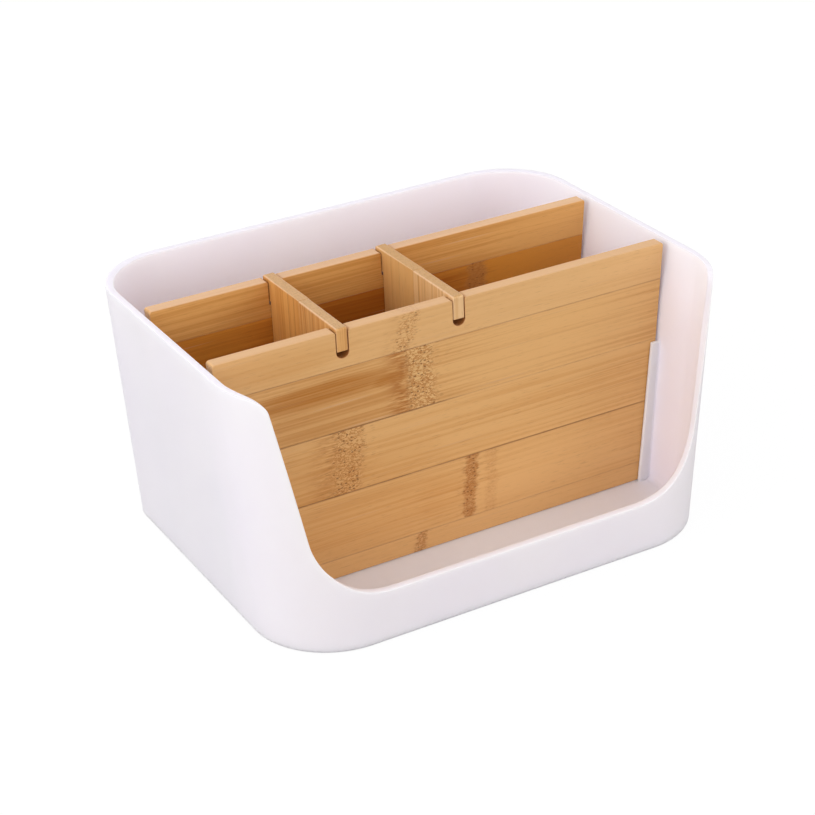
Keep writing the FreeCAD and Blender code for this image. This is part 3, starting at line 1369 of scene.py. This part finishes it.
@dataclass(frozen=True)
class MouldedPlastic:
    """Satin off-white plastic: fine moulded grain, faint cloudy drift, a few rubbed marks and
    painted shade on its rounded edges.
    """

    name: str = "satin_moulded_plastic"
    colour: Colour = (0.895, 0.86, 0.945)
    shade: Colour = (0.88, 0.845, 0.93)
    # darker, bluer colour of the painted shade on the rounded edges
    edge: Colour = (0.735, 0.70, 0.775)
    edge_shade_cover: float = 0.9
    roughness: float = 0.42
    specular: float = 0.35
    scatter_length: float = 5.0
    bump_strength: float = 0.12
    bump_height: float = 0.04

    def material(self) -> bpy.types.Material:
        """Builds the material on the piece's own coordinates in millimetres.

        Returns:
            The tub's material.
        """
        material, sheet, shader = new_material(self.name)
        spot = sheet.add("ShaderNodeTexCoord").outputs["Object"]
        skin = sheet.placed(skin_group(), Place=sheet.vector("MULTIPLY", spot, (1.0 / MM,) * 3))
        colour = sheet.mix(skin["Cloud"], self.shade, self.colour)
        # painted shade: the rounded edges are darkened towards the edge colour
        colour = sheet.tint(colour, self.edge, sheet.mark("edge_sheen_and_shade"), self.edge_shade_cover)
        rough = sheet.times_plus(skin["Cloud"], 0.05, self.roughness)
        sheet.filled(shader, **{
            "Base Color": colour, "Roughness": sheet.times_plus(skin["Rub"], 0.08, rough),
            "Specular IOR Level": self.specular, "Subsurface Weight": 1.0,
            "Subsurface Radius": (1.0, 1.0, 1.0), "Subsurface Scale": self.scatter_length * MM,
            "Normal": sheet.bump(skin["Height"], self.bump_strength, self.bump_height)})
        return material


# The studio


@dataclass(frozen=True)
class Lamp:
    """One soft square lamp that looks at a spot, in metres and watts."""

    name: str
    place: tuple[float, float, float]
    power: float
    aim: tuple[float, float, float] = (0.0, 0.0, 0.05)
    size: float = 1.1

    def build(self) -> bpy.types.Object:
        """Makes the lamp.

        Returns:
            The lamp's object, turned so that it looks at its aim.
        """
        light = bpy.data.lights.new(self.name, "AREA")
        light.shape = "SQUARE"
        light.size = self.size
        light.energy = self.power
        thing = linked(self.name, light)
        thing.location = self.place
        way = Vector(self.aim) - Vector(self.place)
        thing.rotation_euler = way.to_track_quat("-Z", "Y").to_euler()
        return thing


@dataclass(frozen=True)
class Studio:
    """A white floor under soft light, and the camera where the photograph was taken from."""

    turn: float = 0.494558
    tilt: float = 0.474271
    roll: float = -0.046043
    stand: tuple[float, float, float] = (-0.440598, -0.807795, 0.531422)
    focal_pixels: float = 2155.83
    frame_pixels: float = 815.0
    sensor: float = 36.0
    nearest: float = 0.01
    farthest: float = 50.0
    ambient: float = 0.93
    floor_white: float = 0.35
    floor_glow: float = 0.93
    floor_reach: float = 6.0
    floor_drop: float = 0.2
    lamps: tuple[Lamp, ...] = (Lamp("left_lamp", (-1.8, -0.1, 0.8), 9.1),
                               Lamp("corner_lamp", (-1.4, -1.1, 0.8), 5.0),
                               Lamp("front_lamp", (0.1, -1.9, 0.55), 2.4),
                               Lamp("right_lamp", (1.3, -1.4, 0.8), 6.0),
                               Lamp("back_lamp", (-0.3, 1.9, 0.4), 7.0))

    def camera(self) -> bpy.types.Object:
        """Makes the camera.

        It looks along the direction that turn and tilt give, and roll turns its right and up
        axes about that direction.

        Returns:
            The camera's object.
        """
        ahead = Vector((math.sin(self.turn) * math.cos(self.tilt),
                        math.cos(self.turn) * math.cos(self.tilt), -math.sin(self.tilt)))
        level = Vector((math.cos(self.turn), -math.sin(self.turn), 0.0))
        above = level.cross(ahead)
        cosine, sine = math.cos(self.roll), math.sin(self.roll)
        right = level * cosine + above * sine
        up = above * cosine - level * sine
        data = bpy.data.cameras.new("camera")
        data.sensor_width = self.sensor
        data.lens = self.focal_pixels / self.frame_pixels * self.sensor
        data.clip_start = self.nearest
        data.clip_end = self.farthest
        thing = linked("camera", data)
        axes = Matrix((right, up, -ahead)).transposed().to_4x4()
        thing.matrix_world = Matrix.Translation(self.stand) @ axes
        bpy.context.scene.camera = thing
        return thing

    def floor(self) -> bpy.types.Object:
        """Makes the floor, which looks near white to the camera and keeps a soft shadow.

        Returns:
            The floor's object.
        """
        half = self.floor_reach
        mesh = bpy.data.meshes.new("studio_floor")
        mesh.from_pydata([(-half, -half, 0.0), (half, -half, 0.0), (half, half, 0.0),
                          (-half, half, 0.0)], [], [(0, 1, 2, 3)])
        thing = linked("studio_floor", mesh)
        thing.location.z = -self.floor_drop * MM
        material = bpy.data.materials.new("studio_floor")
        material.use_nodes = True
        material.node_tree.nodes.clear()
        sheet = Sheet(material.node_tree)
        seen = sheet.add("ShaderNodeLightPath").outputs["Is Camera Ray"]
        white = sheet.mix(seen, (self.floor_white,) * 3, (1.0, 1.0, 1.0))
        paint = sheet.fed("ShaderNodeBsdfDiffuse", white)[0]
        glow = sheet.add("ShaderNodeEmission").outputs[0]
        blend = sheet.fed("ShaderNodeMixShader", sheet.times(seen, self.floor_glow), paint, glow)
        sheet.fed("ShaderNodeOutputMaterial", blend[0])
        mesh.materials.append(material)
        return thing

    def sky(self) -> None:
        """Fills the room with even light and shows white to the camera and to reflections."""
        world = bpy.data.worlds.new("studio_room")
        bpy.context.scene.world = world
        world.use_nodes = True
        world.node_tree.nodes.clear()
        sheet = Sheet(world.node_tree)
        path = sheet.add("ShaderNodeLightPath").outputs
        mirrored = sheet.math("MAXIMUM", path["Is Glossy Ray"], path["Is Transmission Ray"])
        seen = sheet.math("MAXIMUM", path["Is Camera Ray"], mirrored)
        strength = sheet.times_plus(seen, 1.0 - self.ambient, self.ambient)
        room = sheet.fed("ShaderNodeBackground", (1.0, 1.0, 1.0, 1.0), strength)
        sheet.fed("ShaderNodeOutputWorld", room[0])

    def build(self) -> None:
        """Makes the camera, the floor, the room's light and the lamps."""
        bpy.context.scene.view_settings.view_transform = "Standard"
        self.camera()
        self.floor()
        self.sky()
        for lamp in self.lamps:
            lamp.build()


# This organiser's own pieces

PALE = (0.72, 0.42, 0.175)
GOLD = (0.715, 0.405, 0.155)
HONEY = (0.62, 0.32, 0.105)
AMBER = (0.53, 0.228, 0.048)
DEEP = (0.44, 0.17, 0.028)
# SHADED and the next two are painted shade on the wood's tone, for the rear board in its bays
SHADED = (0.72, 0.375, 0.118)
SHADE_ORANGE = (0.62, 0.25, 0.035)
SHADE_BROWN = (0.40, 0.12, 0.01)
RUDDY = (0.67, 0.32, 0.088)
COPPER = (0.71, 0.385, 0.135)
CHESTNUT = (0.41, 0.13, 0.014)
TAWNY = (0.67, 0.37, 0.133)
STRAW = (0.78, 0.50, 0.25)

FRONT_LOOKS = (
    StripLook(1.0, PALE, HONEY, 0.35, 0.05,
              (Knuckle(-22.5, 120.0, 0.35, 5.4, 0.75, 0.1, 0.2, 0.6),),
              (Patch(-95.0, 119.0, 55.0, 9.0, -0.4), Patch(-82.0, 114.0, 26.0, 6.0, -0.2),
               Patch(40.0, 119.0, 60.0, 12.0, 0.1)),
              Seam(0.35)),
    StripLook(2.3, GOLD, DEEP, 0.44, 0.10,
              (Knuckle(-16.5, 95.0, -0.04, 8.4, 1.0, 0.08, 0.9),),
              (Patch(-72.0, 99.5, 62.0, 7.5, -0.45), Patch(-31.0, 97.0, 12.0, 4.5, -0.25),
               Patch(-58.0, 92.0, 52.0, 24.0, -0.22), Patch(60.0, 92.0, 75.0, 26.0, 0.28)),
              Seam(0.75, -14.0, 12.0, 0.25), 0.55),
    StripLook(3.7, GOLD, AMBER, 0.4, 0.1,
              (Knuckle(-56.0, 62.0, 0.1, 9.0, 1.0, 0.12, 0.4, 0.35),),
              (Patch(-85.0, 58.0, 50.0, 18.0, -0.25), Patch(-30.0, 56.0, 30.0, 12.0, -0.15)),
              Seam(0.78, 60.0, 110.0, 0.7), 0.35),
    StripLook(4.9, GOLD, AMBER, 0.28, 0.06,
              (Knuckle(8.0, 28.0, 0.1, 3.8, 0.9, 0.7, 0.1),
               Knuckle(19.5, 30.0, 0.05, 4.0, 0.2, 0.5, 0.0, 0.0)),
              (Patch(-50.0, 28.0, 70.0, 24.0, -0.3), Patch(-5.0, 28.0, 20.0, 20.0, -0.1),
               Patch(60.0, 28.0, 40.0, 20.0, 0.15)),
              Seam(0.3, -60.0, 20.0, 0.6)),
    StripLook(6.1, GOLD, HONEY, 0.35, 0.06,
              (Knuckle(-19.6, 8.5, 0.1, 3.4, 0.8, 0.5, 0.1),),
              (Patch(35.0, 8.0, 40.0, 9.0, 0.2),)),
)
# The rear board's patches are partly the wood's own tone and partly painted shade: darker across
# the middle, lighter at the right end.
REAR_LOOKS = (
    StripLook(11.4, SHADED, AMBER, 0.6, 0.15, (),
              (Patch(-12.0, 119.0, 80.0, 40.0, -0.25), Patch(108.0, 119.0, 50.0, 30.0, 0.35)),
              Seam(0.2), 0.45),
    StripLook(12.6, SHADE_ORANGE, SHADE_BROWN, 0.45, 0.1,
              (Knuckle(54.0, 100.0, 0.1, 6.0, 0.75, 0.85, 0.3),),
              (Patch(-5.0, 98.0, 72.0, 26.0, -0.75), Patch(100.0, 100.0, 45.0, 30.0, 0.5)),
              Seam(0.5)),
    StripLook(13.8, HONEY, AMBER, 0.5, 0.1, (Knuckle(-70.0, 62.0, 0.1, 5.0),), (), Seam(0.6)),
    StripLook(14.2, GOLD, AMBER, 0.5, 0.1, (Knuckle(20.0, 30.0, -0.1, 4.0),), (), Seam(0.5)),
    StripLook(15.5, GOLD, AMBER, 0.5, 0.1),
)
LEFT_DIVIDER_LOOKS = (StripLook(21.0, COPPER, CHESTNUT, 0.5, 0.45, (),
                                (Patch(105.0, 0.0, 50.0, 30.0, -0.3),), Seam(0.15)),
                      StripLook(22.5, RUDDY, CHESTNUT, 0.5, 0.5))
RIGHT_DIVIDER_LOOKS = (StripLook(23.1, STRAW, HONEY, 0.6, 0.5, (),
                                 (Patch(105.0, 0.0, 50.0, 30.0, -0.45),), Seam(0.1)),
                       StripLook(24.6, TAWNY, HONEY, 0.5, 0.2))


def board_sides(body: str) -> tuple[float, float]:
    """The y of a long board's front and back faces."""
    low, high = node_box(f"{body}_strip_1")
    return float(low[1]), float(high[1])


def main() -> None:
    """Builds the tub, the boards, the dividers and the studio."""
    logging.basicConfig(level=logging.INFO, format="%(name)s: %(message)s")
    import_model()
    Studio().build()
    front, rear = board_sides("front_board"), board_sides("rear_board")
    dividers = (Divider("left_divider", LEFT_DIVIDER_LOOKS),
                Divider("right_divider", RIGHT_DIVIDER_LOOKS,
                        end_tone=(0.49, 0.27, 0.10)))
    spans = [divider.span() for divider in dividers]
    made = [Tub().build((front, rear), MouldedPlastic())]
    for board in (LongBoard("front_board", FRONT_LOOKS),
                  # the rear board's painted sheen is paler and pinker
                  LongBoard("rear_board", REAR_LOOKS, slot_depth=12.0, bottom_share=0.2,
                            sheen_tone=(0.69, 0.465, 0.31))):
        made += board.build(spans)
    for divider in dividers:
        made += divider.build(front[1], rear[0])
    for thing in made:
        log.info("%s: %d points, %d faces", thing.name, len(thing.data.vertices),
                 len(thing.data.polygons))


if __name__ == "__main__":
    main()
